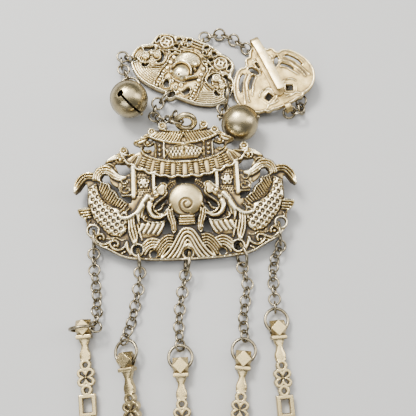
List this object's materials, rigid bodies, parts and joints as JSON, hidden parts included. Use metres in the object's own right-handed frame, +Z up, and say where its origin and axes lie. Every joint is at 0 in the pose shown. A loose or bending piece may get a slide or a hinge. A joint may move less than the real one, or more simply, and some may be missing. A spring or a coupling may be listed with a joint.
{
  "type": "silver chatelaine pendant with two plaques, bells and hanging toilet tools",
  "caption": "Lying silver belt pendant: a garment hook, a cloud plaque with round bells, a large pierced plaque with carp, gate and pearl, and link chains that end in small toilet tools.",
  "frame": {"origin": "middle of the lying object's box, on the table", "axes": "+Z up from the table, +Y from the tools towards the cloud plaque, +X to the right as the picture shows it"},
  "size_m": [0.0924, 0.1998, 0.0158],
  "materials": {
    "plaque_silver": "cast and chased silver with dark tarnish in the recesses",
    "hook_silver": "hammered sheet silver, warm and lightly scratched",
    "grey_silver": "smooth grey silver, softly polished",
    "link_silver": "drawn silver wire, polished on the outside",
    "tool_silver": "cast silver, bright on the edges",
    "pellet": "dull grey"
  },
  "bodies": {
    "root": {"garment_hook": "hook_silver", "upper_ring": "link_silver", "upper_chain": "link_silver", "hook_ring": "link_silver", "cloud_plaque": "plaque_silver", "bell_left": "grey_silver", "bell_right": "grey_silver", "bell_pellet_left": "pellet", "bell_pellet_right": "pellet", "bell_ring_left": "link_silver", "bell_ring_right": "link_silver", "bell_chain_left": "link_silver", "bell_chain_right": "link_silver", "middle_ring": "link_silver", "middle_chain": "link_silver", "suspension_ring": "grey_silver", "carp_plaque": "plaque_silver", "tassel_ring_1": "link_silver", "tassel_ring_2": "link_silver", "tassel_ring_3": "link_silver", "tassel_ring_4": "link_silver", "tassel_ring_5": "link_silver", "tassel_chain_1": "link_silver", "tassel_chain_2": "link_silver", "tassel_chain_3": "link_silver", "tassel_chain_4": "link_silver", "tassel_chain_5": "link_silver", "tool_ring_1": "link_silver", "tool_ring_2": "link_silver", "tool_ring_3": "link_silver", "tool_ring_4": "link_silver", "tool_ring_5": "link_silver", "tool_1": "tool_silver", "tool_2": "tool_silver", "tool_3": "tool_silver", "tool_4": "tool_silver", "tool_5": "tool_silver"}
  },
  "joints": []
}
